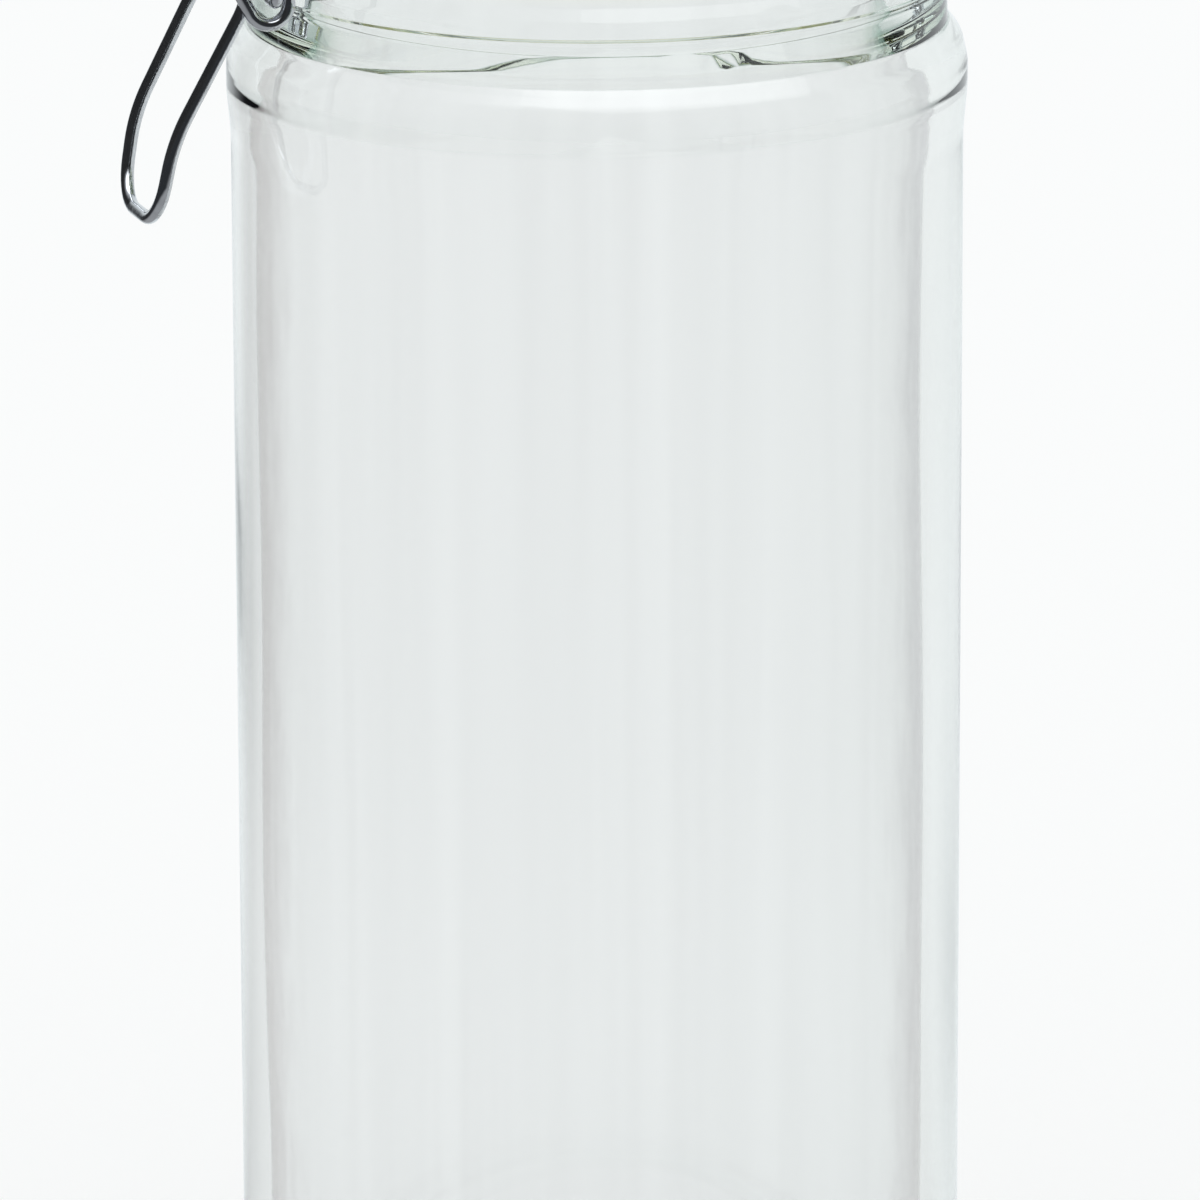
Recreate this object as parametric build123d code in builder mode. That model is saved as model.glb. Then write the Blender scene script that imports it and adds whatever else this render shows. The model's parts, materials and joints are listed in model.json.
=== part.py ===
from build123d import *

import os
from math import acos, cos, degrees, radians, sin, sqrt

# Lidded glass canister: a tall round wire-bail storage jar of about two litres.
# Origin: on the jar's axis, on the plane it stands on. +Z is up, the clasp is at -Y, the hinge at +Y.
# All sizes are in millimetres.

os.makedirs("parts", exist_ok=True)

# --- driving dimensions -------------------------------------------------------------------
body_radius = 60.1
bulge_radius = 60.7
neck_radius = 57.2
neck_height = 252.0  # where the shoulder meets the neck
crease_height = neck_height - 11.5  # foot of the shoulder's bulge
wall = 4.5
floor_thickness = 6.5
heel_radius = 9.0
mouth_radius = 49.0
rim_radius = 58.8
rim_top = neck_height + 24.4
groove_height = neck_height + 18.0  # centre of the neck wire's groove
gasket_thickness = 3.0
gasket_outer = 58.6
tab_width = 14.0
tab_reach = 67.0  # how far out the gasket's pull tab ends
lid_radius = 59.4
lid_edge = 8.0
dome_rise = 6.5
plug_radius = 47.2
plug_depth = 6.0
wire = 2.2  # diameter of every wire
play = 0.1  # small gap between pieces that rest on each other

# --- places worked out from them ----------------------------------------------------------
wire_radius = wire / 2
lid_base = rim_top + play + gasket_thickness
lid_groove_height = lid_base + lid_edge / 2
lid_groove_radius = lid_radius - 1.3
neck_groove_radius = neck_radius - 1.2
neck_wire_radius = neck_groove_radius + wire_radius + 0.25
lid_wire_radius = lid_groove_radius + wire_radius + play
eye_ring = wire_radius + 1.3  # centre-line radius of an eyelet that runs on a wire
eye_x = 14.8  # the eyelets' and loops' distance from the middle plane
arm_x = 12.3
web_x = 17.3
pivot_y, pivot_z = -60.5, groove_height  # the lever's fulcrum
pin_y, pin_z = -59.9, neck_height + 9.2  # the lever's pins, which carry the link
pin_end_x = 13.9
loop_y, loop_z = -60.5, neck_height + 8.6  # middle of the link's loops
loop_ring = 3.3
lean = 28.0  # how far the link's legs lean out from upright, in degrees
nose_x, nose_y = 8.5, -63.1
link_bar_y, link_bar_z = -62.6, lid_groove_height + 2.65
hinge_y, hinge_z = 64.2, groove_height
hinge_x = 13.0
hinge_eye_x = 9.0
bend = 2.5
tight_bend = 1.6


def beside(radius, x):
    """How far out along Y a circle's point at x lies."""
    return sqrt(radius**2 - x**2)


def side_arc(radius, rear_x, front_x):
    """Arc of a ring's +X side, from its rear point at rear_x to its front point at front_x."""
    rear_angle = degrees(acos(rear_x / radius))
    front_angle = degrees(acos(front_x / radius))
    return CenterArc((0, 0), radius, rear_angle, -rear_angle - front_angle)


# --- jar body -----------------------------------------------------------------------------
with BuildPart() as jar_body:
    with BuildSketch(Plane.XZ) as jar_profile:
        with BuildLine():
            outer = FilletPolyline(
                (0, 0),
                (body_radius, 0),
                (body_radius, crease_height),
                (bulge_radius, neck_height - 8.0),
                (bulge_radius, neck_height - 2.5),
                (neck_radius, neck_height + 0.5),
                (neck_radius, groove_height - 2.6),
                (neck_groove_radius, groove_height - 1.6),
                (neck_groove_radius, groove_height + 1.5),
                (rim_radius, groove_height + 2.3),
                (rim_radius, rim_top),
                (mouth_radius, rim_top),
                (mouth_radius, groove_height + 1.0),
                (neck_radius - wall, neck_height + 11.0),
                (neck_radius - wall, neck_height - 1.0),
                (body_radius - wall, crease_height + 0.5),
                (body_radius - wall, floor_thickness),
                (0, floor_thickness),
                radius=[heel_radius, 2, 2, 1.5, 1, 0.6, 0.5, 0.5, 0.8, 1.2, 1.2, 3, 3, 4, 4, 10],
            )
            Line(outer @ 1, outer @ 0)
        make_face()
    revolve(axis=Axis.Z)

# --- lid: plate with a wire groove in its edge, a low dome and a locating plug ---------------
with BuildPart() as lid:
    with BuildSketch(Plane.XZ) as lid_profile:
        with BuildLine():
            edge = FilletPolyline(
                (0, lid_base + 3.0),
                (plug_radius - wall, lid_base + 3.0),
                (plug_radius - wall, lid_base - plug_depth),
                (plug_radius, lid_base - plug_depth),
                (plug_radius, lid_base),
                (lid_radius, lid_base),
                (lid_radius, lid_groove_height - 1.3),
                (lid_groove_radius, lid_groove_height - 1.0),
                (lid_groove_radius, lid_groove_height + 1.0),
                (lid_radius, lid_groove_height + 1.3),
                (lid_radius - 0.4, lid_base + lid_edge),
                (plug_radius, lid_base + lid_edge + 0.8),
                (plug_radius - 8.0, lid_base + lid_edge + dome_rise),
                (0, lid_base + lid_edge + dome_rise),
                radius=[1, 1.5, 1, 0.6, 0.8, 0.4, 0.3, 0.3, 0.4, 1.5, 4, 5],
            )
            Line(edge @ 1, edge @ 0)
        make_face()
    revolve(axis=Axis.Z)

# --- gasket: flat ring with a pull tab at -X -------------------------------------------------
tab_end_x = -(tab_reach - tab_width / 2)  # middle of the tab's round end
with BuildPart() as gasket:
    with BuildSketch(Plane.XY.offset(lid_base - gasket_thickness)) as gasket_outline:
        Circle(gasket_outer)
        with Locations(((tab_end_x - mouth_radius) / 2, 0)):
            Rectangle(-tab_end_x - mouth_radius, tab_width)
        with Locations((tab_end_x, 0)):
            Circle(tab_width / 2)
        Circle(mouth_radius - 0.4, mode=Mode.SUBTRACT)
    extrude(amount=gasket_thickness)

# --- neck wire: ring in the jar's groove, front eyelets, rear hinge bar -----------------------
with BuildPart() as neck_wire:
    with BuildLine(Plane.XY.offset(groove_height)) as neck_path:
        bar = Line((0, hinge_y), (hinge_x, hinge_y))
        Line(bar @ 1, (hinge_x, beside(neck_wire_radius, hinge_x)))
        ring = side_arc(neck_wire_radius, hinge_x, eye_x)
        Line(ring @ 1, (eye_x, pivot_y + eye_ring))
        eyelet_y = pivot_y + eye_ring
        fillet([v for v in neck_path.vertices() if v.X > 1 and v.Y > eyelet_y + 1], bend)
    with BuildSketch(Plane.YZ):
        with Locations((hinge_y, groove_height)):
            Circle(wire_radius)
    sweep(path=neck_path.wire())
    with Locations(Location((eye_x, pivot_y, pivot_z), (0, 90, 0))):
        Torus(eye_ring, wire_radius)
    mirror(about=Plane.YZ)

# --- lid wire: ring round the lid, front nose, two rear hinge eyes ----------------------------
nose_angle = degrees(acos(nose_x / lid_wire_radius))
nose_root_y = -beside(lid_wire_radius, nose_x)
leg_root_y = beside(lid_wire_radius, hinge_eye_x)
with BuildPart() as lid_wire:
    with BuildLine(Plane.XY.offset(lid_groove_height)) as lid_path:
        CenterArc((0, 0), lid_wire_radius, -nose_angle, 180 + 2 * nose_angle)
        Polyline(
            (-nose_x, nose_root_y), (-nose_x, nose_y), (nose_x, nose_y), (nose_x, nose_root_y))
        fillet(lid_path.vertices(), tight_bend)
    with BuildSketch(Plane(lid_path.wire() @ 0.4, z_dir=lid_path.wire() % 0.4)):
        Circle(wire_radius)
    sweep(path=lid_path.wire())
    for side_x in (-hinge_eye_x, hinge_eye_x):
        with BuildLine() as leg_path:
            FilletPolyline(
                (side_x, leg_root_y, lid_groove_height),
                (side_x, hinge_y + eye_ring, lid_groove_height),
                (side_x, hinge_y + eye_ring, hinge_z),
                radius=bend,
            )
        with BuildSketch(Plane(leg_path.line @ 0, z_dir=leg_path.line % 0)):
            Circle(wire_radius)
        sweep(path=leg_path.wire())
        with Locations(Location((side_x, hinge_y, hinge_z), (0, 90, 0))):
            Torus(eye_ring, wire_radius)

# --- clasp lever: handle, arms, trunnions in the neck wire's eyelets, pins for the link -------
with BuildPart() as clasp_lever:
    with BuildLine() as lever_path:
        FilletPolyline(
            (0, -78.2, neck_height - 27.5),
            (9.8, -78.2, neck_height - 27.5),
            (11.2, -75.6, neck_height - 13.5),
            (arm_x, -64.3, neck_height + 7.2),
            (arm_x, pivot_y, pivot_z),
            (web_x, pivot_y, pivot_z),
            (web_x, pin_y, pin_z),
            (pin_end_x, pin_y, pin_z),
            radius=[5.5, 12, 8, tight_bend, tight_bend, tight_bend],
        )
    with BuildSketch(Plane(lever_path.line @ 0, z_dir=lever_path.line % 0)):
        Circle(wire_radius)
    sweep(path=lever_path.wire())
    mirror(about=Plane.YZ)

# --- closing link: loops on the lever's pins, bowed legs, bar over the lid wire's nose --------
leg_start_y = loop_y - loop_ring * cos(radians(lean))
leg_start_z = loop_z - loop_ring * sin(radians(lean))
leg_out_z = neck_height + 14.4
leg_out_y = leg_start_y - (leg_out_z - leg_start_z) * sin(radians(lean)) / cos(radians(lean))
with BuildPart() as closing_link:
    with BuildLine() as link_path:
        FilletPolyline(
            (0, link_bar_y, link_bar_z),
            (eye_x, link_bar_y, link_bar_z),
            (eye_x, leg_out_y, rim_top - 2.0),
            (eye_x, leg_out_y, leg_out_z),
            (eye_x, leg_start_y, leg_start_z),
            radius=[bend + 0.5, 6, 6],
        )
    with BuildSketch(Plane(link_path.line @ 0, z_dir=link_path.line % 0)):
        Circle(wire_radius)
    sweep(path=link_path.wire())
    with Locations(Location((eye_x, loop_y, loop_z), (0, 90, 0))):
        Torus(loop_ring, wire_radius)
    mirror(about=Plane.YZ)

# --- labels and files ------------------------------------------------------------------------
pieces = {
    "jar_body": jar_body,
    "lid": lid,
    "gasket": gasket,
    "neck_wire": neck_wire,
    "lid_wire": lid_wire,
    "clasp_lever": clasp_lever,
    "closing_link": closing_link,
}
for name, piece in pieces.items():
    piece.part.label = name
    export_step(piece.part, f"parts/{name}.step")
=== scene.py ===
import json
import math

import bpy
from bpy.props import FloatProperty, FloatVectorProperty, IntProperty, PointerProperty
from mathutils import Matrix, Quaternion, Vector


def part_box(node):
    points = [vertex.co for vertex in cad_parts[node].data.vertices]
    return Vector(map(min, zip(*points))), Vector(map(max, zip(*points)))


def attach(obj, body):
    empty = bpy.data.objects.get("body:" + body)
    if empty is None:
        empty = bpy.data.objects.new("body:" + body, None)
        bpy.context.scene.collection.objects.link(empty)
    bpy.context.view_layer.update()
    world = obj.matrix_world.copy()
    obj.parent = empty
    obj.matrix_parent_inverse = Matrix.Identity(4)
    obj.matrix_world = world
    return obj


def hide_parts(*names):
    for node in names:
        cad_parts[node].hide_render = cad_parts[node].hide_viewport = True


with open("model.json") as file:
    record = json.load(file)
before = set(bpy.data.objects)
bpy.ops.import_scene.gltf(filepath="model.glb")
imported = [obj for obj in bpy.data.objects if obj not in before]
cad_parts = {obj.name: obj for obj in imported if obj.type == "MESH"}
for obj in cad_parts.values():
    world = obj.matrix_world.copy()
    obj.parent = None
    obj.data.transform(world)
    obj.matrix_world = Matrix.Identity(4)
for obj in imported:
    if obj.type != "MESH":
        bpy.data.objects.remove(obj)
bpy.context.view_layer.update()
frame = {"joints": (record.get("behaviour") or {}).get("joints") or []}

bl_info = {
    "name": "Clamp-lid canister",
    "version": (1, 0, 0),
    "blender": (4, 5, 0),
    "location": "3D View > Sidebar > Canister",
    "description": "Models a round glass storage jar with a hinged lid and a steel wire clasp",
    "category": "Add Mesh",
}

MM = 0.001

# --- places read from the frame --------------------------------------------------------------
_, JAR_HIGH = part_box("jar_body")
LID_LOW, LID_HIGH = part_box("lid")
GASKET_LOW, GASKET_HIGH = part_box("gasket")
LID_WIRE_LOW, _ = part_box("lid_wire")
LEVER_LOW, LEVER_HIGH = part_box("clasp_lever")
LINK_LOW, LINK_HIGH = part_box("closing_link")


def joint_place(name):
    """Where a joint's axis crosses the middle plane."""
    return next(Vector(joint["pos_m"]) for joint in frame["joints"] if joint["name"] == name)


HINGE = joint_place("lid_hinge")
FULCRUM = joint_place("clasp_lever_hinge")
PIN = joint_place("closing_link_pivot")
RIM_TOP = JAR_HIGH.z
NECK = RIM_TOP - 24.4 * MM  # where the shoulder meets the neck
GROOVE = FULCRUM.z  # the neck wire's height
LID_BASE = GASKET_HIGH.z
LID_GROOVE = LID_BASE + 4.0 * MM  # the lid wire's height

# --- sizes that several pieces share ---------------------------------------------------------
GROOVE_DEPTH = 1.2 * MM  # of the neck's groove, in from the neck band
LID_GROOVE_DEPTH = 1.3 * MM
EYE_HOLE = 1.3 * MM  # inside radius of the wires' curled eyes
CLASP_BEND = 1.6 * MM  # radius of the clasp's small bends, along the middle of the wire
RUBBER_CLEARANCE = 0.02 * MM  # between the rubber and the glass on each side of it

# --- how finely things are modelled ----------------------------------------------------------
LONGEST_RUN = 3.5 * MM  # between two points of a turned outline
RING_STEP = 2.6 * MM  # between two points of a wire's level ring
EYE_STEP = 9  # degrees between two points of a curled eye
EYE_LEAST_STEPS = 8
WIRE_ROUNDNESS = 5  # bevel resolution of a wire
SAME_PLACE = 0.002 * MM  # vertices closer than this are merged
NEARLY_STRAIGHT = math.radians(89.5)  # a corner whose half angle passes this stays a point
CUT_EDGE = math.radians(50)  # a wire's edges that turn more than this stay sharp
TAB_EDGE = math.radians(45)  # and the rubber's


# --- what a user would change ----------------------------------------------------------------
class CanisterSizes(bpy.types.PropertyGroup):
    """Sizes of the glass, the rubber and the wires"""

    bulge_radius: FloatProperty(
        name="Shoulder radius", description="Radius of the shoulder's bulge, the jar's widest place",
        default=JAR_HIGH.x, unit="LENGTH")
    body_radius: FloatProperty(
        name="Body radius", description="Outside radius of the jar's straight body",
        default=60.05 * MM, unit="LENGTH")
    neck_radius: FloatProperty(
        name="Neck radius", description="Outside radius of the neck band",
        default=57.2 * MM, unit="LENGTH")
    mouth_radius: FloatProperty(
        name="Mouth radius", description="Inside radius of the mouth", default=49.0 * MM,
        unit="LENGTH")
    throat_radius: FloatProperty(
        name="Throat radius", description="Inside radius of the neck under the mouth",
        default=47.0 * MM, unit="LENGTH")
    wall: FloatProperty(
        name="Wall", description="Thickness of the glass", default=5.2 * MM, unit="LENGTH")
    wall_drift: FloatProperty(
        name="Wall drift", description="How far the inside stands off the jar's axis",
        default=0.8 * MM, unit="LENGTH")
    ripple: FloatProperty(
        name="Ripple", description="Height of the slow waves on the inside of the glass",
        default=0.035 * MM, unit="LENGTH")
    lid_radius: FloatProperty(
        name="Lid radius", description="Outside radius of the lid", default=LID_HIGH.x,
        unit="LENGTH")
    plug_radius: FloatProperty(
        name="Plug radius", description="Outside radius of the ring under the lid",
        default=47.2 * MM, unit="LENGTH")
    gasket_radius: FloatProperty(
        name="Gasket radius", description="Outside radius of the rubber ring",
        default=GASKET_HIGH.x, unit="LENGTH")
    wire: FloatProperty(
        name="Wire", description="Diameter of the steel wire", default=2.2 * MM, unit="LENGTH")
    turning_steps: IntProperty(
        name="Turning steps", description="Facets round every turned piece", default=160, min=24)


class CanisterFinishes(bpy.types.PropertyGroup):
    """Colours of the glass, the rubber and the steel"""

    glass: FloatVectorProperty(
        name="Glass", description="Tint that a pane of the glass gives to light",
        subtype="COLOR", size=3, default=(0.950, 0.950, 0.953), min=0, max=1)
    glass_depth: FloatVectorProperty(
        name="Glass depth", description="Colour that thick glass takes on",
        subtype="COLOR", size=3, default=(0.42, 0.70, 0.60), min=0, max=1)
    rubber: FloatVectorProperty(
        name="Rubber", description="Colour of the gasket",
        subtype="COLOR", size=3, default=(0.80, 0.80, 0.36), min=0, max=1)
    steel: FloatVectorProperty(
        name="Steel", description="Colour of the bright wire",
        subtype="COLOR", size=3, default=(0.62, 0.64, 0.67), min=0, max=1)


class CanisterStage(bpy.types.PropertyGroup):
    """The camera's place and lens"""

    azimuth: FloatProperty(
        name="Azimuth", description="Where the camera stands round the jar",
        subtype="ANGLE", default=math.radians(71.24))
    elevation: FloatProperty(
        name="Elevation", description="How high the camera stands over its target",
        subtype="ANGLE", default=math.radians(15.3))
    roll: FloatProperty(
        name="Roll", description="Turn of the camera about its own axis",
        subtype="ANGLE", default=math.radians(-0.185))
    distance: FloatProperty(
        name="Distance", description="From the camera to its target", default=1.808,
        unit="LENGTH")
    target_height: FloatProperty(
        name="Target height", description="Height of the point that the camera looks at",
        default=NECK - 99.7 * MM, unit="LENGTH")
    target_side: FloatProperty(
        name="Target side", description="How far the target is right of the jar's axis",
        default=0.23 * MM, unit="LENGTH")
    lens: FloatProperty(
        name="Lens", description="Focal length in millimetres", default=326.9, min=1)


# --- modelling helpers -----------------------------------------------------------------------
def rounded(corners, steps=6):
    """Points along straight runs with round corners. corners is a list of (point, radius)."""
    points = [Vector(point) for point, radius in corners]
    path = [points[0]]
    for before, corner, after, (_, radius) in zip(points, points[1:], points[2:], corners[1:]):
        into, out = (before - corner).normalized(), (after - corner).normalized()
        half = into.angle(out) / 2
        if radius <= 0 or half > NEARLY_STRAIGHT:
            path.append(corner)
            continue
        centre = corner + (into + out).normalized() * (radius / math.sin(half))
        start = corner + into * (radius / math.tan(half)) - centre
        end = corner + out * (radius / math.tan(half)) - centre
        turn = start.angle(end)
        for step in range(steps + 1):
            share = step / steps
            path.append(centre + (start * math.sin((1 - share) * turn)
                                  + end * math.sin(share * turn)) / math.sin(turn))
    path.append(points[-1])
    return path


def divided(path, longest):
    """The same path with its long runs cut into even shorter ones."""
    points = [path[0]]
    for before, after in zip(path, path[1:]):
        cuts = max(1, math.ceil((after - before).length / longest))
        points += [before.lerp(after, cut / cuts) for cut in range(1, cuts + 1)]
    return points


def edit(name):
    """Names the new active object and opens it for editing with everything selected."""
    piece = bpy.context.object
    piece.name = piece.data.name = name
    bpy.ops.object.mode_set(mode="EDIT")
    bpy.ops.mesh.select_all(action="SELECT")
    return piece


def close_edit(smooth=True):
    """Merges doubles, turns the faces outwards and goes back to object mode."""
    bpy.ops.mesh.select_all(action="SELECT")
    bpy.ops.mesh.remove_doubles(threshold=SAME_PLACE)
    bpy.ops.mesh.normals_make_consistent(inside=False)
    bpy.ops.object.mode_set(mode="OBJECT")
    if smooth:
        bpy.ops.object.shade_smooth()


def turned(name, outline, steps):
    """A shape turned round the Z axis from an outline of (radius, height) points."""
    bpy.ops.object.select_all(action="DESELECT")
    bpy.ops.mesh.primitive_plane_add(size=1 * MM)
    piece = edit(name)
    bpy.ops.mesh.merge(type="CENTER")
    bpy.ops.transform.translate(value=(outline[0].x, 0, outline[0].y))
    for before, after in zip(outline, outline[1:]):
        move = after - before
        bpy.ops.mesh.extrude_vertices_move(
            TRANSFORM_OT_translate={"value": (move.x, 0, move.y)})
    bpy.ops.mesh.select_all(action="SELECT")
    bpy.ops.mesh.spin(steps=steps, angle=math.tau, center=(0, 0, 0), axis=(0, 0, 1))
    close_edit()
    return piece


def bent_wire(name, route, radius):
    """A round wire along a route, as a mesh with closed cut ends."""
    bpy.ops.object.select_all(action="DESELECT")
    bpy.ops.curve.primitive_bezier_curve_add()
    piece = bpy.context.object
    piece.name = name
    curve = piece.data
    curve.splines.clear()
    spline = curve.splines.new("POLY")
    spline.points.add(len(route) - 1)
    for point, place in zip(spline.points, route):
        point.co = (*place, 1)
    curve.dimensions = "3D"
    curve.twist_mode = "MINIMUM"
    curve.bevel_depth = radius
    curve.bevel_resolution = WIRE_ROUNDNESS
    curve.use_fill_caps = True
    bpy.ops.object.convert(target="MESH")
    piece = bpy.context.object
    piece.data.name = name
    bpy.ops.object.mode_set(mode="EDIT")
    close_edit(smooth=False)
    bpy.ops.object.shade_smooth_by_angle(angle=CUT_EDGE)
    return piece


def eye(x, middle, radius, first, last):
    """Part of a circle round an X axis through middle, from one angle to another in degrees."""
    count = max(EYE_LEAST_STEPS, round(abs(last - first) / EYE_STEP))
    angles = [math.radians(first + (last - first) * step / count) for step in range(count + 1)]
    return [((x, middle.y + radius * math.cos(a), middle.z + radius * math.sin(a)), 0)
            for a in angles]


def ring_side(radius, height, first_angle, last_angle):
    """Part of a level ring about the jar's axis, as corners without rounding."""
    count = round(abs(last_angle - first_angle) * radius / RING_STEP)
    angles = [first_angle + (last_angle - first_angle) * step / count
              for step in range(count + 1)]
    return [((radius * math.cos(a), radius * math.sin(a), height), 0) for a in angles]


def both_sides(half):
    """A route from its +X end to the middle plane, and on to the mirrored end."""
    return half + [Vector((-point.x, point.y, point.z)) for point in reversed(half[:-1])]


def finish_piece(piece, material, body, node):
    """Gives a piece its material and body, and hides the node it replaces."""
    piece.data.materials.clear()
    piece.data.materials.append(material)
    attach(piece, body)
    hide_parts(node)


# --- shader groups ---------------------------------------------------------------------------
def new_group(name, inputs, outputs):
    """An empty shader group with float inputs, and its input and output nodes."""
    group = bpy.data.node_groups.new(name, "ShaderNodeTree")
    group.interface.new_socket("Vector", in_out="INPUT", socket_type="NodeSocketVector")
    for label, value in inputs.items():
        socket = group.interface.new_socket(label, in_out="INPUT", socket_type="NodeSocketFloat")
        socket.default_value = value
    for label in outputs:
        group.interface.new_socket(label, in_out="OUTPUT", socket_type="NodeSocketFloat")
    return group, group.nodes.new("NodeGroupInput"), group.nodes.new("NodeGroupOutput")


def add_math(tree, operation, first, second):
    """A math node on two values or sockets; gives its output."""
    node = tree.nodes.new("ShaderNodeMath")
    node.operation = operation
    for socket, value in zip(node.inputs, (first, second)):
        if isinstance(value, (int, float)):
            socket.default_value = value
        else:
            tree.links.new(value, socket)
    return node.outputs[0]


def add_noise(tree, vector, scale, detail=3.0):
    """A noise texture; gives its factor output. scale is a number or a socket."""
    node = tree.nodes.new("ShaderNodeTexNoise")
    node.inputs["Detail"].default_value = detail
    tree.links.new(vector, node.inputs["Vector"])
    if isinstance(scale, (int, float)):
        node.inputs["Scale"].default_value = scale
    else:
        tree.links.new(scale, node.inputs["Scale"])
    return node.outputs[0]


def add_stretch(tree, vector, scale):
    """The vector multiplied by a fixed scale, which stretches a pattern."""
    node = tree.nodes.new("ShaderNodeVectorMath")
    node.operation = "MULTIPLY"
    node.inputs[1].default_value = scale
    tree.links.new(vector, node.inputs[0])
    return node.outputs[0]


def build_flow_group():
    """Flow marks that moulded glass and pressed rubber show: slow waves and fine streaks."""
    group, given, result = new_group("flow_marks", {"Scale": 60.0, "Streaks": 0.5}, ["Height"])
    waves = add_noise(group, given.outputs["Vector"], given.outputs["Scale"], 1.5)
    upright = add_stretch(group, given.outputs["Vector"], (1.0, 1.0, 0.06))
    fine = add_noise(group, upright, add_math(group, "MULTIPLY", given.outputs["Scale"], 6.0))
    streaks = add_math(group, "MULTIPLY", fine, given.outputs["Streaks"])
    group.links.new(add_math(group, "ADD", waves, streaks), result.inputs["Height"])
    return group


def build_handling_group():
    """Smudges, dust and small scratches from handling, as masks from 0 to 1."""
    group, given, result = new_group(
        "handling_marks", {"Smudge scale": 25.0, "Dust amount": 0.3}, ["Smudge", "Dust"])
    smudge = add_noise(group, given.outputs["Vector"], given.outputs["Smudge scale"], 4.0)
    sharp = add_math(group, "SUBTRACT", smudge, 0.45)
    sharp = add_math(group, "MULTIPLY", sharp, 3.0)
    clamp = group.nodes.new("ShaderNodeClamp")
    group.links.new(sharp, clamp.inputs["Value"])
    group.links.new(clamp.outputs[0], result.inputs["Smudge"])
    specks = add_noise(group, given.outputs["Vector"], 2600.0, 1.0)
    specks = add_math(group, "GREATER_THAN", specks, 0.74)
    group.links.new(
        add_math(group, "MULTIPLY", specks, given.outputs["Dust amount"]), result.inputs["Dust"])
    return group


def shared_group(name, build):
    """A shader group made once and used by every material that needs it."""
    return bpy.data.node_groups.get(name) or build()


# --- materials -------------------------------------------------------------------------------
GLASS_IOR = 1.51
GLASS_DENSITY = 7.0  # of the colour that thick glass takes on
EDGE_SHADE_WARM = (0.50, 0.38, 0.33)  # painted shade where the inside of the wall turns away, warm here
EDGE_SHADE_COOL = (0.36, 0.38, 0.44)
NECK_SHADE_GREEN = (0.16, 0.34, 0.25)  # the same painted shade, green, in the thick neck
PAINTED_RUBBER_GLOW = (0.96, 0.95, 0.80)  # painted yellow glow of the gasket, seen through the glass beside it


def new_material(name):
    """A material with only its Principled shader; gives material, tree, shader and coordinates."""
    material = bpy.data.materials.new(name)
    material.use_nodes = True
    tree = material.node_tree
    shader = next(node for node in tree.nodes if node.type == "BSDF_PRINCIPLED")
    coordinates = tree.nodes.new("ShaderNodeTexCoord").outputs["Object"]
    return material, tree, shader, coordinates


def place_group(tree, name, build, coordinates, **values):
    """Puts a shared group in a material with its own values."""
    node = tree.nodes.new("ShaderNodeGroup")
    node.node_tree = shared_group(name, build)
    tree.links.new(coordinates, node.inputs["Vector"])
    for label, value in values.items():
        node.inputs[label.replace("_", " ")].default_value = value
    return node


def add_bump(tree, height, shader, strength, distance):
    """Bump from a height socket into the shader's normal."""
    bump = tree.nodes.new("ShaderNodeBump")
    bump.inputs["Strength"].default_value = strength
    bump.inputs["Distance"].default_value = distance
    tree.links.new(height, bump.inputs["Height"])
    tree.links.new(bump.outputs["Normal"], shader.inputs["Normal"])


def add_range(tree, mask, low, high):
    """Maps a 0 to 1 mask onto a range; gives the result."""
    node = tree.nodes.new("ShaderNodeMapRange")
    node.inputs["To Min"].default_value = low
    node.inputs["To Max"].default_value = high
    tree.links.new(mask, node.inputs["Value"])
    return node.outputs[0]


def add_step(tree, value, start, end):
    """A smooth step from 0 to 1 between two values."""
    node = tree.nodes.new("ShaderNodeMapRange")
    node.interpolation_type = "SMOOTHSTEP"
    node.inputs["From Min"].default_value = start
    node.inputs["From Max"].default_value = end
    tree.links.new(value, node.inputs["Value"])
    return node.outputs[0]


def add_colour_mix(tree, mask, first, second):
    """A colour between two colours or colour sockets, by a mask."""
    node = tree.nodes.new("ShaderNodeMix")
    node.data_type = "RGBA"
    for label, colour in (("A", first), ("B", second)):
        if isinstance(colour, tuple):
            node.inputs[label].default_value = (*colour, 1)
        else:
            tree.links.new(colour, node.inputs[label])
    tree.links.new(mask, node.inputs["Factor"])
    return node.outputs["Result"]


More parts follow.
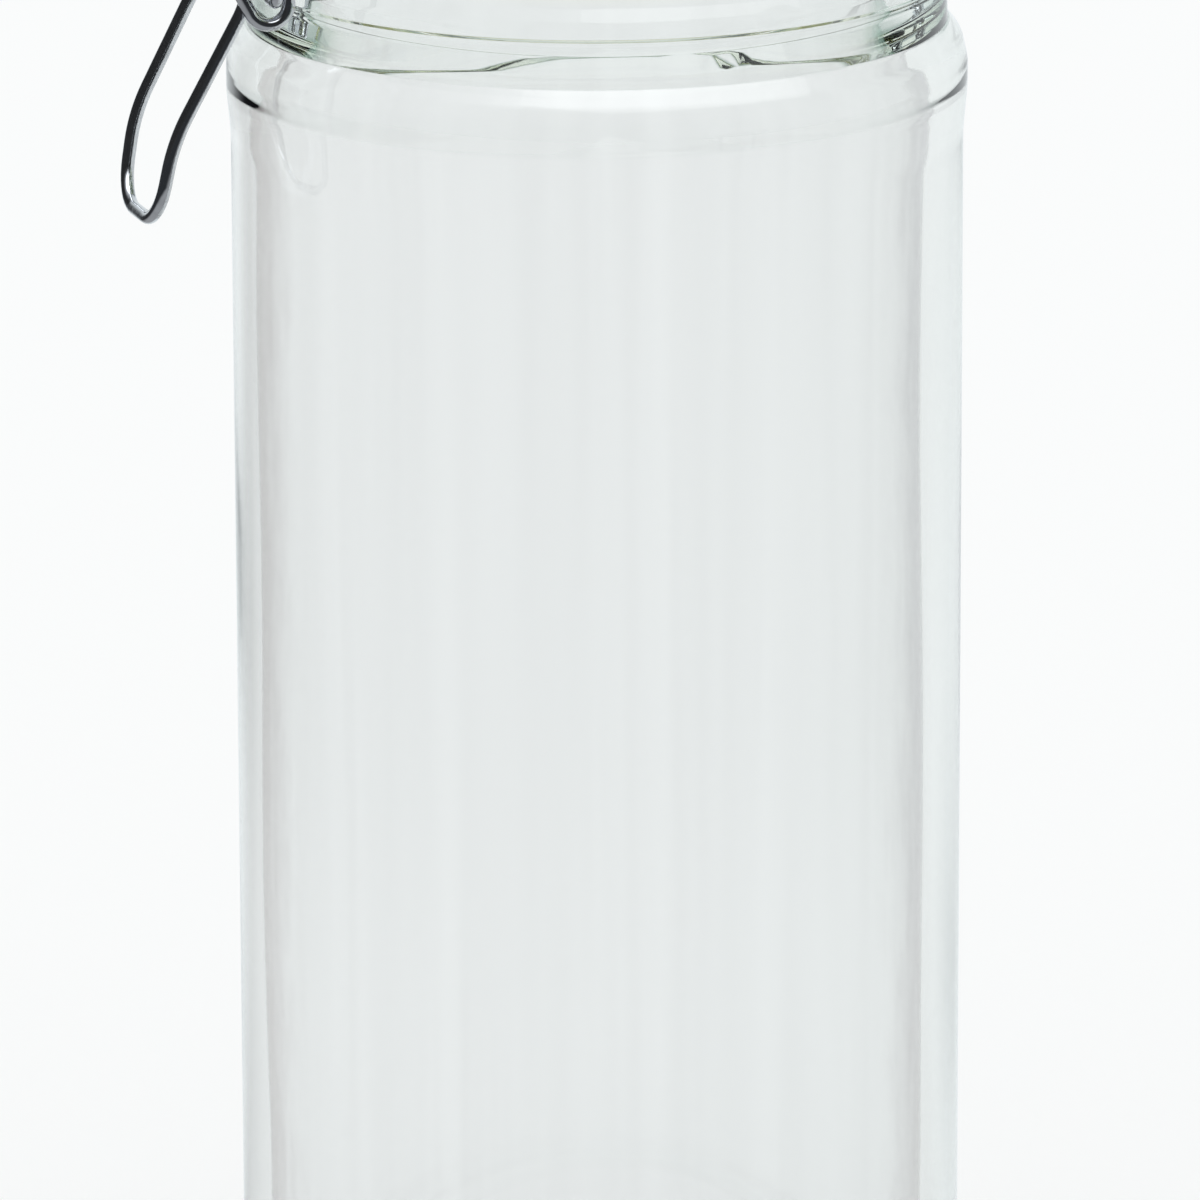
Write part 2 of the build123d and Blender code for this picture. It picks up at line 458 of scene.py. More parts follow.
def add_painted_glass_shade(tree, coordinates, glass, wall_radius):
    """Glass colour that darkens with painted shade where the inside of the wall turns away, warm here
    and cool there, green in the neck; with painted light and dark streaks, and a painted yellow glow
    beside the gasket.
    """
    # painted shade: darker where the surface turns away from the eye, standing in for the wall's dark
    # refraction
    layers = tree.nodes.new("ShaderNodeLayerWeight")
    layers.inputs["Blend"].default_value = 0.5
    patches = add_noise(tree, add_stretch(tree, coordinates, (1.0, 1.0, 0.4)), 160.0, 4.0)
    patches = add_math(tree, "MULTIPLY", add_math(tree, "SUBTRACT", patches, 0.5), 0.25)
    turned_away = add_step(
        tree, add_math(tree, "ADD", layers.outputs["Facing"], patches), 0.52, 0.92)
    flat = add_stretch(tree, coordinates, (1.0, 1.0, 0.0))
    length = tree.nodes.new("ShaderNodeVectorMath")
    length.operation = "LENGTH"
    tree.links.new(flat, length.inputs[0])
    inside = add_math(tree, "LESS_THAN", length.outputs["Value"], wall_radius)
    mask = add_math(tree, "MULTIPLY", turned_away, inside)
    warmth = add_noise(tree, add_stretch(tree, coordinates, (1.0, 1.0, 0.15)), 14.0, 1.0)
    shade = add_colour_mix(tree, warmth, EDGE_SHADE_WARM, EDGE_SHADE_COOL)
    height = tree.nodes.new("ShaderNodeSeparateXYZ")
    tree.links.new(coordinates, height.inputs[0])
    in_neck = add_step(tree, height.outputs["Z"], NECK - 2 * MM, NECK + 1 * MM)
    shade = add_colour_mix(tree, in_neck, shade, NECK_SHADE_GREEN)
    # painted yellow glow of the gasket, seen through the glass from the bead up to the lid
    near_rubber = add_step(tree, height.outputs["Z"], NECK + 12.5 * MM, NECK + 16 * MM)
    # painted light and dark streaks, standing in for the glass's ripples bending the light
    lines = add_noise(tree, add_stretch(tree, coordinates, (1.0, 1.0, 0.02)), 170.0, 3.0)
    painted_streaks = add_colour_mix(tree, add_step(tree, lines, 0.35, 0.65),
                              tuple(0.985 * c for c in glass), tuple(1.012 * c for c in glass))
    past_rubber = add_step(tree, height.outputs["Z"], LID_BASE, LID_BASE + 2.5 * MM)
    near_rubber = add_math(tree, "MULTIPLY", near_rubber,
                           add_math(tree, "SUBTRACT", 1.0, past_rubber))
    clear = add_colour_mix(tree, near_rubber, painted_streaks, PAINTED_RUBBER_GLOW)
    return add_colour_mix(tree, mask, clear, shade)


def glass_material(name, scale, streaks, strength, wall_radius):
    """Clear moulded glass, a little green where it is thick, with painted shade, streaks and gasket
    glow in its colour, flow marks and faint smudges.
    """
    finishes = bpy.context.scene.canister_finishes
    material, tree, shader, coordinates = new_material(name)
    tree.links.new(add_painted_glass_shade(tree, coordinates, tuple(finishes.glass), wall_radius),
                   shader.inputs["Base Color"])
    shader.inputs["Transmission Weight"].default_value = 1.0
    shader.inputs["IOR"].default_value = GLASS_IOR
    marks = place_group(tree, "handling_marks", build_handling_group, coordinates,
                        Smudge_scale=18.0, Dust_amount=0.2)
    tree.links.new(add_range(tree, marks.outputs["Smudge"], 0.0, 0.035),
                   shader.inputs["Roughness"])
    flow = place_group(tree, "flow_marks", build_flow_group, coordinates,
                       Scale=scale, Streaks=streaks)
    add_bump(tree, flow.outputs["Height"], shader, strength, 0.4 * MM)
    depth = tree.nodes.new("ShaderNodeVolumeAbsorption")
    depth.inputs["Color"].default_value = (*finishes.glass_depth, 1)
    depth.inputs["Density"].default_value = GLASS_DENSITY
    output = next(node for node in tree.nodes if node.type == "OUTPUT_MATERIAL")
    tree.links.new(depth.outputs[0], output.inputs["Volume"])
    return material


def steel_material():
    """Bright drawn steel wire: fine lengthways grain, darker handled spots, small pits."""
    finishes = bpy.context.scene.canister_finishes
    material = bpy.data.materials.get("bright_steel_wire")
    if material:
        return material
    material, tree, shader, coordinates = new_material("bright_steel_wire")
    marks = place_group(tree, "handling_marks", build_handling_group, coordinates,
                        Smudge_scale=180.0, Dust_amount=0.6)
    shader.inputs["Metallic"].default_value = 1.0
    steel = tuple(finishes.steel)
    tree.links.new(
        add_colour_mix(tree, marks.outputs["Smudge"], steel, tuple(c * 0.72 for c in steel)),
        shader.inputs["Base Color"])
    tree.links.new(add_range(tree, marks.outputs["Smudge"], 0.07, 0.20),
                   shader.inputs["Roughness"])
    flow = place_group(tree, "flow_marks", build_flow_group, coordinates,
                       Scale=420.0, Streaks=0.8)
    add_bump(tree, flow.outputs["Height"], shader, 0.10, 0.2 * MM)
    return material


def rubber_material():
    """Pale yellow translucent rubber with a bloom of dust and a soft moulded grain."""
    finishes = bpy.context.scene.canister_finishes
    material, tree, shader, coordinates = new_material("pale_gasket_rubber")
    marks = place_group(tree, "handling_marks", build_handling_group, coordinates,
                        Smudge_scale=60.0, Dust_amount=1.0)
    rubber = tuple(finishes.rubber)
    bloom = tuple(min(1.0, c * 1.12 + 0.05) for c in rubber)
    tree.links.new(add_colour_mix(tree, marks.outputs["Smudge"], rubber, bloom),
                   shader.inputs["Base Color"])
    tree.links.new(add_range(tree, marks.outputs["Dust"], 0.38, 0.65),
                   shader.inputs["Roughness"])
    shader.inputs["Subsurface Weight"].default_value = 0.35
    shader.inputs["Subsurface Radius"].default_value = (1.0, 0.9, 0.35)
    shader.inputs["Subsurface Scale"].default_value = 2.0 * MM
    flow = place_group(tree, "flow_marks", build_flow_group, coordinates,
                       Scale=900.0, Streaks=0.1)
    add_bump(tree, flow.outputs["Height"], shader, 0.25, 0.15 * MM)
    return material


# --- pieces ----------------------------------------------------------------------------------
class CanisterJarBody(bpy.types.Operator):
    """Turn the jar: push-up and gripping ring under it, body, bulged shoulder, neck and rim"""

    bl_idname = "canister.jar_body"
    bl_label = "Jar body"
    bl_options = {"REGISTER", "UNDO"}

    def execute(self, context):
        sizes = context.scene.canister_sizes
        wall, neck, body = sizes.wall, sizes.neck_radius, sizes.body_radius
        rim, inside = 58.8 * MM, body - wall
        outline = divided(rounded([
            # push-up and standing ring
            ((0, 3.0 * MM), 0),
            ((36 * MM, 2.6 * MM), 12 * MM),
            ((42 * MM, 0.9 * MM), 3 * MM),
            ((45 * MM, 0.35 * MM), 1 * MM),
            ((47 * MM, 0), 1 * MM),
            # body and bulged shoulder
            ((body, 0), 9 * MM),
            ((body, NECK - 19.0 * MM), 30 * MM),
            ((sizes.bulge_radius, NECK - 12.0 * MM), 20 * MM),
            ((sizes.bulge_radius, NECK - 7.4 * MM), 6 * MM),
            ((sizes.bulge_radius - 0.9 * MM, NECK - 3.4 * MM), 5 * MM),
            # neck band, bead and groove
            ((neck + 0.15 * MM, NECK - 0.3 * MM), 0.6 * MM),
            ((neck, NECK + 7.2 * MM), 0.5 * MM),
            ((neck + 0.6 * MM, NECK + 7.9 * MM), 0.5 * MM),
            ((neck + 0.6 * MM, NECK + 10.2 * MM), 2.5 * MM),
            ((neck - 1.0 * MM, NECK + 13.0 * MM), 2.5 * MM),
            ((neck - GROOVE_DEPTH, GROOVE - 1.5 * MM), 0.7 * MM),
            ((neck - GROOVE_DEPTH, GROOVE + 1.5 * MM), 0.7 * MM),
            # rim and mouth
            ((rim, GROOVE + 2.3 * MM), 0.9 * MM),
            ((rim, RIM_TOP), 1.6 * MM),
            ((sizes.mouth_radius, RIM_TOP), 1.8 * MM),
            ((sizes.mouth_radius, GROOVE + 0.5 * MM), 4 * MM),
            # thick throat, and the inside of the shoulder, the body and the base
            ((sizes.throat_radius, NECK + 13 * MM), 6 * MM),
            ((sizes.throat_radius, NECK + 5 * MM), 6 * MM),
            ((neck - wall, NECK - 4 * MM), 6 * MM),
            ((inside, NECK - 12 * MM), 6 * MM),
            ((inside, 7.0 * MM), 10 * MM),
            ((0, 7.4 * MM), 0),
        ]), LONGEST_RUN)
        piece = turned("jar_glass", outline, sizes.turning_steps)
        self.knurl(piece, sizes)
        self.raise_seams(piece, sizes, context.scene.canister_stage)
        self.let_wall_drift(piece, sizes, context.scene.canister_stage)
        finish_piece(piece, glass_material("clear_jar_glass", 45.0, 0.15, 0.035, neck + 0.5 * MM),
                     "jar", "jar_body")
        return {"FINISHED"}

    def knurl(self, piece, sizes):
        """Lifts every second spoke of the standing ring, which leaves short gripping bars."""
        spoke = math.tau / sizes.turning_steps
        ring_inside, ring_outside, on_the_floor = 46.5 * MM, 52 * MM, 0.1 * MM
        bar_height = 0.35 * MM
        for vertex in piece.data.vertices:
            radius = math.hypot(vertex.co.x, vertex.co.y)
            if vertex.co.z < on_the_floor and ring_inside < radius < ring_outside:
                turn = round(math.atan2(vertex.co.y, vertex.co.x) / spoke)
                vertex.co.z += bar_height * (turn % 2)

    def raise_seams(self, piece, sizes, stage):
        """Raises two faint mould seams that run up the neck band."""
        spoke = math.tau / sizes.turning_steps
        facing = stage.azimuth - math.pi / 2
        seam_angles, seam_height = (14.4, 21.9), 0.12 * MM
        seams = [round((facing + math.radians(angle)) / spoke) for angle in seam_angles]
        for vertex in piece.data.vertices:
            x, y, z = vertex.co
            turn = round(math.atan2(y, x) / spoke)
            on_band = NECK + 0.5 * MM < z < NECK + 7.0 * MM
            if turn in seams and on_band and math.hypot(x, y) > sizes.neck_radius - 0.5 * MM:
                vertex.co += Vector((x, y, 0)).normalized() * seam_height

    def let_wall_drift(self, piece, sizes, stage):
        """Moves the inside off the axis at body height and gives it slow waves."""
        right = Vector((math.cos(stage.azimuth), math.sin(stage.azimuth), 0))
        inside = sizes.body_radius - 0.6 * sizes.wall
        base_middle, base_top, throat_end = 20 * MM, 6.5 * MM, NECK + 20 * MM
        calm_below, calm_above = 7 * MM, NECK + 6 * MM  # no drift past these heights
        rise = 0.2  # height, in metres, that the waves' twist is counted over
        for vertex in piece.data.vertices:
            x, y, z = vertex.co
            radius = math.hypot(x, y)
            if radius > inside or radius < base_middle or z < base_top or z > throat_end:
                continue
            turn = math.atan2(y, x)
            share = max(0.0, min(1.0, (calm_above - z) / (25 * MM), (z - calm_below) / (30 * MM)))
            wave = (math.sin(3 * turn + 14 * z / rise) + 0.7 * math.sin(7 * turn - 9 * z / rise)
                    + 0.5 * math.sin(13 * turn + 5 * z / rise))
            outwards = Vector((x, y, 0)).normalized()
            vertex.co -= right * (sizes.wall_drift * share)
            vertex.co += outwards * (sizes.ripple * wave * share)


class CanisterLid(bpy.types.Operator):
    """Turn the lid: locating ring, grooved edge and low stepped dome"""

    bl_idname = "canister.lid"
    bl_label = "Lid"
    bl_options = {"REGISTER", "UNDO"}

    def execute(self, context):
        sizes = context.scene.canister_sizes
        plug, lid = sizes.plug_radius, sizes.lid_radius
        top = LID_HIGH.z
        outline = divided(rounded([
            # underside and locating ring
            ((0, LID_BASE + 3.4 * MM), 0),
            ((plug - 8 * MM, LID_BASE + 3.0 * MM), 6 * MM),
            ((plug - 4.4 * MM, LID_BASE), 2 * MM),
            ((plug - 4.0 * MM, LID_LOW.z), 1.4 * MM),
            ((plug - 0.3 * MM, LID_LOW.z), 1.4 * MM),
            ((plug, LID_BASE), 0.8 * MM),
            # edge with the wire's groove
            ((lid, LID_BASE), 1.0 * MM),
            ((lid, LID_GROOVE - 1.4 * MM), 0.5 * MM),
            ((lid - LID_GROOVE_DEPTH, LID_GROOVE - 1.0 * MM), 0.35 * MM),
            ((lid - LID_GROOVE_DEPTH, LID_GROOVE + 1.0 * MM), 0.35 * MM),
            ((lid, LID_GROOVE + 1.4 * MM), 0.5 * MM),
            # flat margin and stepped dome
            ((lid - 0.4 * MM, LID_BASE + 8 * MM), 1.6 * MM),
            ((plug + 3 * MM, LID_BASE + 8.6 * MM), 3 * MM),
            ((plug - 2 * MM, LID_BASE + 9.0 * MM), 3 * MM),
            ((plug - 8 * MM, top - 1.6 * MM), 4 * MM),
            ((plug - 12 * MM, top - 0.9 * MM), 3 * MM),
            ((0, top), 0),
        ]), LONGEST_RUN)
        piece = turned("lid_glass", outline, sizes.turning_steps)
        finish_piece(piece, glass_material("clear_lid_glass", 70.0, 0.1, 0.06, plug - 3 * MM),
                     "lid", "lid")
        return {"FINISHED"}


class CanisterGasket(bpy.types.Operator):
    """Turn the rubber ring and pull its tab out"""

    bl_idname = "canister.gasket"
    bl_label = "Gasket"
    bl_options = {"REGISTER", "UNDO"}

    def execute(self, context):
        sizes = context.scene.canister_sizes
        low, high = GASKET_LOW.z + RUBBER_CLEARANCE, GASKET_HIGH.z - RUBBER_CLEARANCE
        inner, outer = sizes.mouth_radius - 0.3 * MM, sizes.gasket_radius
        edge = 0.7 * MM
        seam = (inner + 2 * MM, low)  # where the outline closes
        ring = rounded([
            (seam, 0),
            ((outer, low), edge),
            ((outer, high), edge),
            ((inner, high), edge),
            ((inner, low), edge),
            (seam, 0),
        ], 4)
        piece = turned("rubber_gasket", ring, sizes.turning_steps)
        self.pull_tab(piece, outer)
        finish_piece(piece, rubber_material(), "lid", "gasket")
        return {"FINISHED"}

    def pull_tab(self, piece, outer):
        """Extrudes a stretch of the ring's outer wall into a thinner, round-ended tab."""
        middle = Vector((0, 0, (GASKET_LOW.z + GASKET_HIGH.z) / 2))
        half_width = 6.8 * MM
        reach = -GASKET_LOW.x - outer - 0.2 * MM
        steps = 7
        straight = 0.35  # share of the tab before its end starts to round off
        blunt = 0.05  # square of the width, as a share, that the end keeps
        thinning = 0.97  # of the height, at each step
        bpy.ops.object.mode_set(mode="EDIT")
        bpy.ops.mesh.select_mode(type="FACE")
        bpy.ops.mesh.select_all(action="DESELECT")
        bpy.ops.object.mode_set(mode="OBJECT")
        for face in piece.data.polygons:
            centre = face.center
            face.select = (math.hypot(centre.x, centre.y) > outer - 0.05 * MM
                           and centre.x < 0 and abs(centre.y) < half_width)
        bpy.ops.object.mode_set(mode="EDIT")
        width = 1.0
        for step in range(1, steps + 1):
            share = step / steps
            past = max(0.0, share - straight)
            wanted = math.sqrt(max(blunt, 1 - past ** 2 / (1 - straight) ** 2))
            bpy.ops.mesh.extrude_region_move(
                TRANSFORM_OT_translate={"value": (-reach / steps, 0, 0)})
            bpy.ops.transform.resize(value=(1, wanted / width, thinning), center_override=middle)
            width = wanted
        close_edit(smooth=False)
        bpy.ops.object.shade_smooth_by_angle(angle=TAB_EDGE)


class CanisterNeckWire(bpy.types.Operator):
    """Bend the neck wire: front eyelets, ring in the groove, rear hinge bar"""

    bl_idname = "canister.neck_wire"
    bl_label = "Neck wire"
    bl_options = {"REGISTER", "UNDO"}

    eye_x: FloatProperty(
        name="Eyelet place", description="The eyelets' distance from the middle plane",
        default=14.8 * MM, unit="LENGTH")
    hinge_x: FloatProperty(
        name="Hinge bar's half length", description="Where the wire turns out to the hinge bar",
        default=13.0 * MM, unit="LENGTH")

    def execute(self, context):
        sizes = context.scene.canister_sizes
        wire = sizes.wire
        ring = sizes.neck_radius - GROOVE_DEPTH + wire / 2 + 0.25 * MM
        eye_radius = wire / 2 + EYE_HOLE
        low = GROOVE - eye_radius
        front = -math.acos(self.eye_x / ring)
        rear = math.acos(self.hinge_x / ring)
        half = eye(self.eye_x, FULCRUM, eye_radius, 22, 268)
        half += [((self.eye_x, FULCRUM.y + 1.6 * MM, low + 0.2 * MM), 1.5 * MM)]
        side = ring_side(ring, GROOVE, front, rear)
        half += [(side[0][0], 1.3 * MM)] + side[1:-1] + [
            (side[-1][0], 2.0 * MM),
            ((self.hinge_x, HINGE.y, GROOVE), 2.5 * MM),
            ((0, HINGE.y, GROOVE), 0),
        ]
        piece = bent_wire("neck_wire_bent", both_sides(rounded(half)), wire / 2)
        finish_piece(piece, steel_material(), "jar", "neck_wire")
        return {"FINISHED"}


class CanisterLidWire(bpy.types.Operator):
    """Bend the lid wire: rear hinge eyes, legs, ring in the lid's groove, front nose"""

    bl_idname = "canister.lid_wire"
    bl_label = "Lid wire"
    bl_options = {"REGISTER", "UNDO"}

    leg_x: FloatProperty(
        name="Leg place", description="The legs' distance from the middle plane",
        default=9.0 * MM, unit="LENGTH")
    nose_x: FloatProperty(
        name="Nose's half width", description="Where the wire turns out to the nose",
        default=8.5 * MM, unit="LENGTH")

    def execute(self, context):
        sizes = context.scene.canister_sizes
        wire = sizes.wire
        ring = sizes.lid_radius - LID_GROOVE_DEPTH + wire / 2 + 0.1 * MM
        eye_radius = wire / 2 + EYE_HOLE
        leg_y = HINGE.y + eye_radius
        nose_y = LID_WIRE_LOW.y + wire / 2
        rear = math.acos(self.leg_x / ring)
        front = -math.acos(self.nose_x / ring)
        side = ring_side(ring, LID_GROOVE, rear, front)
        half = eye(self.leg_x, HINGE, eye_radius, 112, 360)
        half += [
            ((self.leg_x, leg_y, LID_GROOVE), 2.5 * MM),
            (side[0][0], 2.0 * MM),
        ] + side[1:-1] + [
            (side[-1][0], 1.6 * MM),
            ((self.nose_x, nose_y, LID_GROOVE), 1.6 * MM),
            ((0, nose_y, LID_GROOVE), 0),
        ]
        piece = bent_wire("lid_wire_bent", both_sides(rounded(half)), wire / 2)
        finish_piece(piece, steel_material(), "lid", "lid_wire")
        return {"FINISHED"}


class CanisterClaspLever(bpy.types.Operator):
    """Bend the clasp's handle with its trunnions and link pins"""

    bl_idname = "canister.clasp_lever"
    bl_label = "Clasp lever"
    bl_options = {"REGISTER", "UNDO"}

    def execute(self, context):
        wire = context.scene.canister_sizes.wire
        base_y, base_z = LEVER_LOW.y + wire / 2, LEVER_LOW.z + wire / 2
        arm_x, web_x, pin_end_x = 12.3 * MM, LEVER_HIGH.x - wire / 2, 13.9 * MM
        half = rounded([
            ((pin_end_x, PIN.y, PIN.z), 0),
            ((web_x, PIN.y, PIN.z), CLASP_BEND),
            ((web_x, FULCRUM.y, FULCRUM.z), CLASP_BEND),
            ((arm_x, FULCRUM.y, FULCRUM.z), CLASP_BEND),
            # the arm bows out from the jar, then turns down to the finger bar
            ((arm_x, -64.3 * MM, NECK + 7.2 * MM), 16 * MM),
            ((11.2 * MM, -75.6 * MM, NECK - 13.5 * MM), 30 * MM),
            ((9.8 * MM, base_y, base_z), 7.5 * MM),
            ((0, base_y, base_z), 0),
        ], 9)
        piece = bent_wire("clasp_lever_bent", both_sides(half), wire / 2)
        finish_piece(piece, steel_material(), "lever", "clasp_lever")
        return {"FINISHED"}


class CanisterClosingLink(bpy.types.Operator):
    """Bend the closing link: loops on the lever's pins, bowed legs, bar over the lid wire"""

    bl_idname = "canister.closing_link"
    bl_label = "Closing link"
    bl_options = {"REGISTER", "UNDO"}

    lean: FloatProperty(
        name="Lean", description="How far the legs lean out from upright", subtype="ANGLE",
        default=math.radians(28))

    def execute(self, context):
        wire = context.scene.canister_sizes.wire
        loop_x = LINK_HIGH.x - wire / 2
        loop = Vector((0, -60.5 * MM, NECK + 8.6 * MM))
        loop_radius, loop_turn = 3.3 * MM, 278  # the loops are open for the rest of the circle
        bar = Vector((0, -62.6 * MM, LINK_HIGH.z - wire / 2))
        out_y = LINK_LOW.y + wire / 2
        start_angle = 180 + math.degrees(self.lean)
        half = rounded(
            eye(loop_x, loop, loop_radius, start_angle + loop_turn, start_angle) + [
                ((loop_x, out_y, NECK + 14.4 * MM), 6 * MM),
                ((loop_x, out_y, RIM_TOP - 2 * MM), 6 * MM),
                ((loop_x, bar.y, bar.z), 3 * MM),
                ((0, bar.y, bar.z), 0),
            ], 8)
        piece = bent_wire("closing_link_bent", both_sides(half), wire / 2)
        finish_piece(piece, steel_material(), "link", "closing_link")
        return {"FINISHED"}


# --- stage -----------------------------------------------------------------------------------
ROOM_WHITE = (0.975, 0.985, 0.985)
ROOM_ABOVE = (0.40, 0.49, 0.45)  # what steeply rising light meets through the glass
SOFTBOX_PLACE = (0.43, 0.17, 1.35)
SOFTBOX_SIZE = (1.5, 1.3)
SOFTBOX_POWER = 5.0
SOFTBOX_WAY = (0.36, 0.14, 0.92)  # from the jar to the middle of the mirrored softbox
SOFTBOX_STRENGTH = 5.0  # of the mirrored softbox
PANEL_WHITE = (0.85, 0.90, 0.92)
PANEL_TURN = 76.0  # degrees from the camera's right to the pale panel behind the jar
# brightness of the mirrored room, by the upward part of a ray's direction
MIRRORED_BANDS = ((0.0, 0.04), (0.15, 0.03), (0.45, 0.025), (0.62, 0.06), (0.80, 0.35), (1.0, 0.9))
FLOOR_RADIUS = 30
FLOOR_LIT = (0.98, 0.985, 0.985)
FLOOR_GLOW = (0.965, 0.975, 0.975)
FLOOR_GLOW_SHARE = 0.55
FLOOR_MIRRORED_NEAR = (0.42, 0.43, 0.44)  # the floor as mirrored rays meet it
FLOOR_MIRRORED_FAR = (0.035, 0.038, 0.042)
SENSOR_WIDTH = 36


def pale_by_ray(tree, seen, mirrored):
    """Mixes two shaders: one that mirrored rays meet and one for all other rays."""
    rays = tree.nodes.new("ShaderNodeLightPath")
    mix = tree.nodes.new("ShaderNodeMixShader")
    tree.links.new(add_math(tree, "MULTIPLY", rays.outputs["Is Glossy Ray"],
                            rays.outputs["Is Reflection Ray"]), mix.inputs[0])
    tree.links.new(seen, mix.inputs[1])
    tree.links.new(mirrored, mix.inputs[2])
    return mix.outputs[0]


def add_facing(tree, way, target):
    """The cosine of the angle between a direction socket and a fixed unit direction."""
    unit = tree.nodes.new("ShaderNodeVectorMath")
    unit.operation = "NORMALIZE"
    tree.links.new(way, unit.inputs[0])
    towards = tree.nodes.new("ShaderNodeVectorMath")
    towards.operation = "DOT_PRODUCT"
    towards.inputs[1].default_value = target
    tree.links.new(unit.outputs[0], towards.inputs[0])
    return towards.outputs["Value"]


def add_panel_mask(tree, way, stage):
    """Where a direction points to the pale panel that stands behind the jar to the right."""
    turn = stage.azimuth + math.radians(PANEL_TURN)
    facing = add_facing(tree, way, (math.cos(turn), math.sin(turn), 0))
    return add_step(tree, facing, 0.55, 0.80)


class CanisterStageSet(bpy.types.Operator):
    """Lay the pale floor, light it softly and set up the camera"""

    bl_idname = "canister.stage"
    bl_label = "Stage"
    bl_options = {"REGISTER", "UNDO"}

    def execute(self, context):
        self.lay_floor(context.scene.canister_stage)
        self.light_room(context.scene)
        self.hang_softbox("overhead_softbox", SOFTBOX_PLACE, SOFTBOX_SIZE, SOFTBOX_POWER)
        self.set_camera(context.scene)
        context.scene.view_settings.view_transform = "Standard"
        return {"FINISHED"}

    def lay_floor(self, stage):
        """A round floor that glows a little; mirrored rays meet a darker one that fades outwards."""
        bpy.ops.object.select_all(action="DESELECT")
        bpy.ops.mesh.primitive_circle_add(vertices=96, radius=FLOOR_RADIUS, fill_type="NGON")
        floor = bpy.context.object
        floor.name = "floor"
        material = bpy.data.materials.new("pale_floor")
        material.use_nodes = True
        tree = material.node_tree
        tree.nodes.clear()
        output = tree.nodes.new("ShaderNodeOutputMaterial")
        place = tree.nodes.new("ShaderNodeTexCoord").outputs["Object"]
        lit = tree.nodes.new("ShaderNodeBsdfDiffuse")
        lit.inputs["Color"].default_value = (*FLOOR_LIT, 1)
        glow = tree.nodes.new("ShaderNodeEmission")
        glow.inputs["Color"].default_value = (*FLOOR_GLOW, 1)
        seen = tree.nodes.new("ShaderNodeMixShader")
        seen.inputs[0].default_value = FLOOR_GLOW_SHARE
        tree.links.new(lit.outputs[0], seen.inputs[1])
        tree.links.new(glow.outputs[0], seen.inputs[2])
        away = tree.nodes.new("ShaderNodeVectorMath")
        away.operation = "LENGTH"
        tree.links.new(place, away.inputs[0])
        far = add_step(tree, away.outputs["Value"], 0.30, 0.60)
        colour = add_colour_mix(tree, far, FLOOR_MIRRORED_NEAR, FLOOR_MIRRORED_FAR)
        panel = add_panel_mask(tree, place, stage)
        mirrored = tree.nodes.new("ShaderNodeEmission")
        tree.links.new(add_colour_mix(tree, panel, colour, PANEL_WHITE), mirrored.inputs["Color"])
        tree.links.new(pale_by_ray(tree, seen.outputs[0], mirrored.outputs[0]),
                       output.inputs["Surface"])
        floor.data.materials.append(material)

    def light_room(self, scene):
        """A white room for the eye, and a darker one with a pale panel for mirrored rays."""
        world = bpy.data.worlds.new("studio")
        world.use_nodes = True
        scene.world = world
        tree = world.node_tree
        tree.nodes.clear()
        output = tree.nodes.new("ShaderNodeOutputWorld")
        way = tree.nodes.new("ShaderNodeTexCoord").outputs["Generated"]
        height = tree.nodes.new("ShaderNodeSeparateXYZ")
        tree.links.new(way, height.inputs[0])
        rays = tree.nodes.new("ShaderNodeLightPath")
        seen = tree.nodes.new("ShaderNodeBackground")
        above = add_step(tree, height.outputs["Z"], 0.30, 0.60)
        gloom = add_math(tree, "MULTIPLY", above, rays.outputs["Is Transmission Ray"])
        tree.links.new(add_colour_mix(tree, gloom, ROOM_WHITE, ROOM_ABOVE), seen.inputs["Color"])
        mirrored = tree.nodes.new("ShaderNodeBackground")
        ramp = tree.nodes.new("ShaderNodeValToRGB")
        tree.links.new(height.outputs["Z"], ramp.inputs[0])
        while len(ramp.color_ramp.elements) < len(MIRRORED_BANDS):
            ramp.color_ramp.elements.new(0.5)
        for element, (place, value) in zip(ramp.color_ramp.elements, MIRRORED_BANDS):
            element.position = place
            element.color = (value, value * 1.02, value * 1.05, 1)
        panel = add_panel_mask(tree, way, scene.canister_stage)
        tree.links.new(add_colour_mix(tree, panel, ramp.outputs[0], PANEL_WHITE),
                       mirrored.inputs["Color"])
        overhead = add_step(tree, add_facing(tree, way, SOFTBOX_WAY), 0.66, 0.93)
        tree.links.new(add_range(tree, overhead, 1.0, SOFTBOX_STRENGTH),
                       mirrored.inputs["Strength"])
        tree.links.new(pale_by_ray(tree, seen.outputs[0], mirrored.outputs[0]),
                       output.inputs["Surface"])

    def hang_softbox(self, name, place, size, power):
        """A rectangular area light that faces the jar."""
        target = Vector((0, 0, NECK))
        bpy.ops.object.light_add(type="AREA", location=place)
        lamp = bpy.context.object
        lamp.name = name
        lamp.data.shape = "RECTANGLE"
        lamp.data.size, lamp.data.size_y = size
        lamp.data.energy = power
        lamp.visible_diffuse = False
        lamp.rotation_euler = (target - Vector(place)).to_track_quat("-Z", "Y").to_euler()

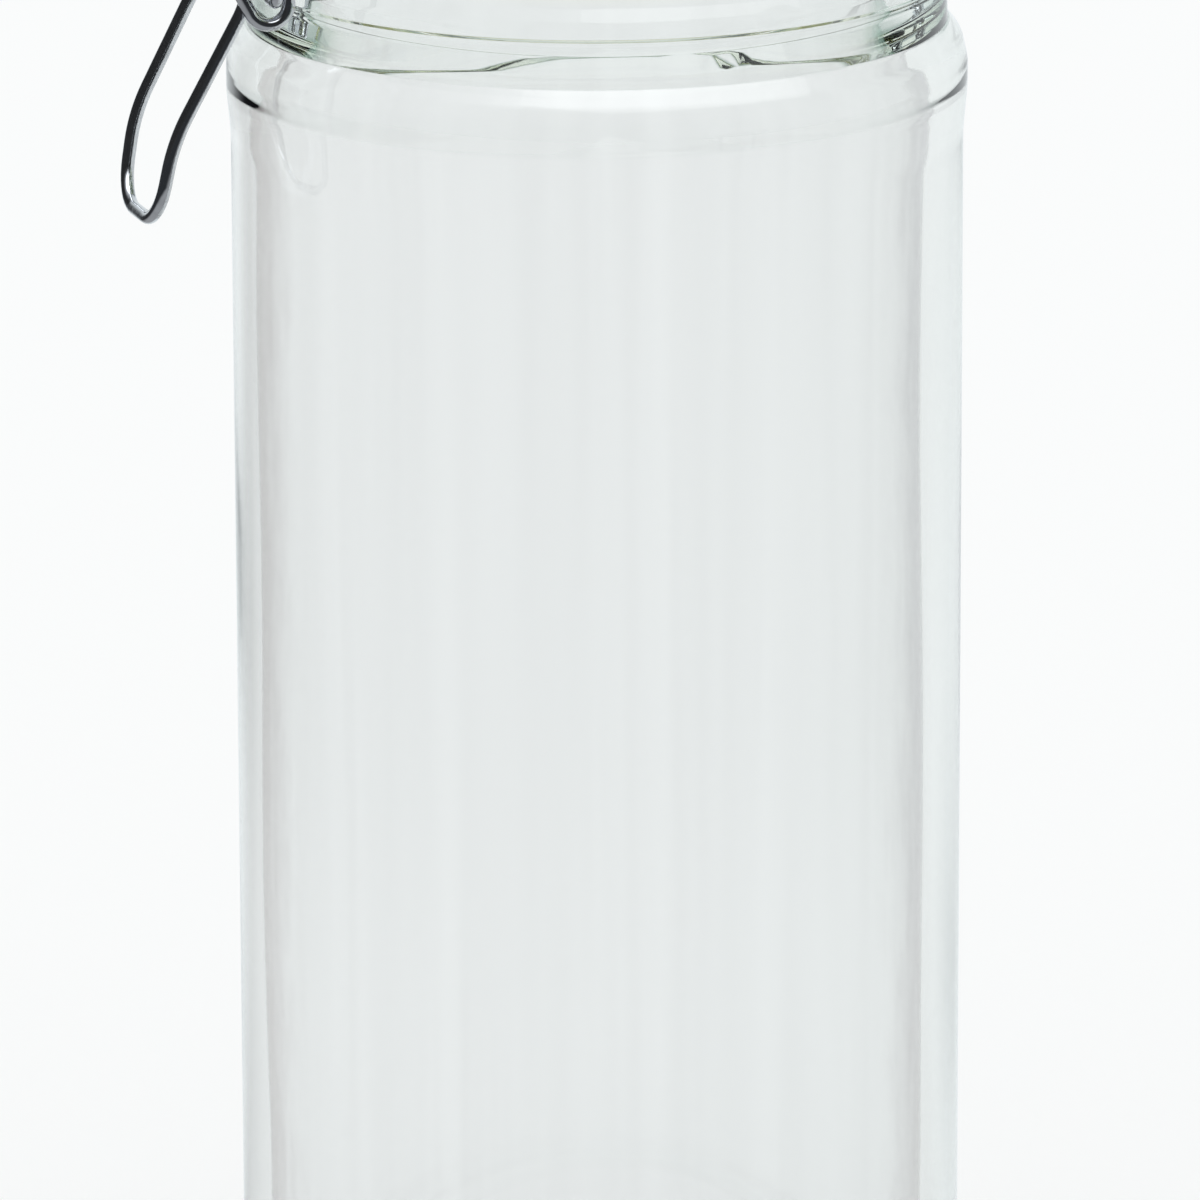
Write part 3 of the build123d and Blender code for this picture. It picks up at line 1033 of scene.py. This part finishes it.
    def set_camera(self, scene):
        """A camera that looks at a point on the jar from the stage's azimuth and elevation."""
        stage = scene.canister_stage
        turn, lift = stage.azimuth, stage.elevation
        back = Vector((math.sin(turn) * math.cos(lift), -math.cos(turn) * math.cos(lift),
                       math.sin(lift)))
        right = Vector((math.cos(turn), math.sin(turn), 0))
        target = right * stage.target_side + Vector((0, 0, stage.target_height))
        bpy.ops.object.camera_add(location=target + back * stage.distance)
        camera = bpy.context.object
        camera.rotation_mode = "QUATERNION"
        camera.rotation_quaternion = ((-back).to_track_quat("-Z", "Y")
                                      @ Quaternion((0, 0, 1), stage.roll))
        camera.data.lens = stage.lens
        camera.data.sensor_width = SENSOR_WIDTH
        camera.data.clip_end = 100
        scene.camera = camera


PIECES = (CanisterJarBody, CanisterLid, CanisterGasket, CanisterNeckWire, CanisterLidWire,
          CanisterClaspLever, CanisterClosingLink, CanisterStageSet)
SETTINGS = {"canister_sizes": CanisterSizes, "canister_finishes": CanisterFinishes,
            "canister_stage": CanisterStage}


class CanisterPanel(bpy.types.Panel):
    """The canister's pieces, sizes and finishes"""

    bl_idname = "VIEW3D_PT_canister"
    bl_label = "Clamp-lid canister"
    bl_space_type = "VIEW_3D"
    bl_region_type = "UI"
    bl_category = "Canister"

    def draw(self, context):
        layout = self.layout
        for piece in PIECES:
            layout.operator(piece.bl_idname)
        for label, kind in SETTINGS.items():
            box = layout.box()
            group = getattr(context.scene, label)
            for name in kind.__annotations__:
                box.prop(group, name)


def register():
    """Adds the settings, operators and panel to Blender."""
    for kind in (*SETTINGS.values(), *PIECES, CanisterPanel):
        bpy.utils.register_class(kind)
    for label, kind in SETTINGS.items():
        setattr(bpy.types.Scene, label, PointerProperty(type=kind))


def unregister():
    """Takes them away again."""
    for label in SETTINGS:
        delattr(bpy.types.Scene, label)
    for kind in (CanisterPanel, *reversed(PIECES), *reversed(SETTINGS.values())):
        bpy.utils.unregister_class(kind)


def main():
    """Makes every piece in order."""
    register()
    bpy.ops.canister.jar_body()
    bpy.ops.canister.lid()
    bpy.ops.canister.gasket()
    bpy.ops.canister.neck_wire()
    bpy.ops.canister.lid_wire()
    bpy.ops.canister.clasp_lever()
    bpy.ops.canister.closing_link()
    bpy.ops.canister.stage()


if __name__ == "__main__":
    main()
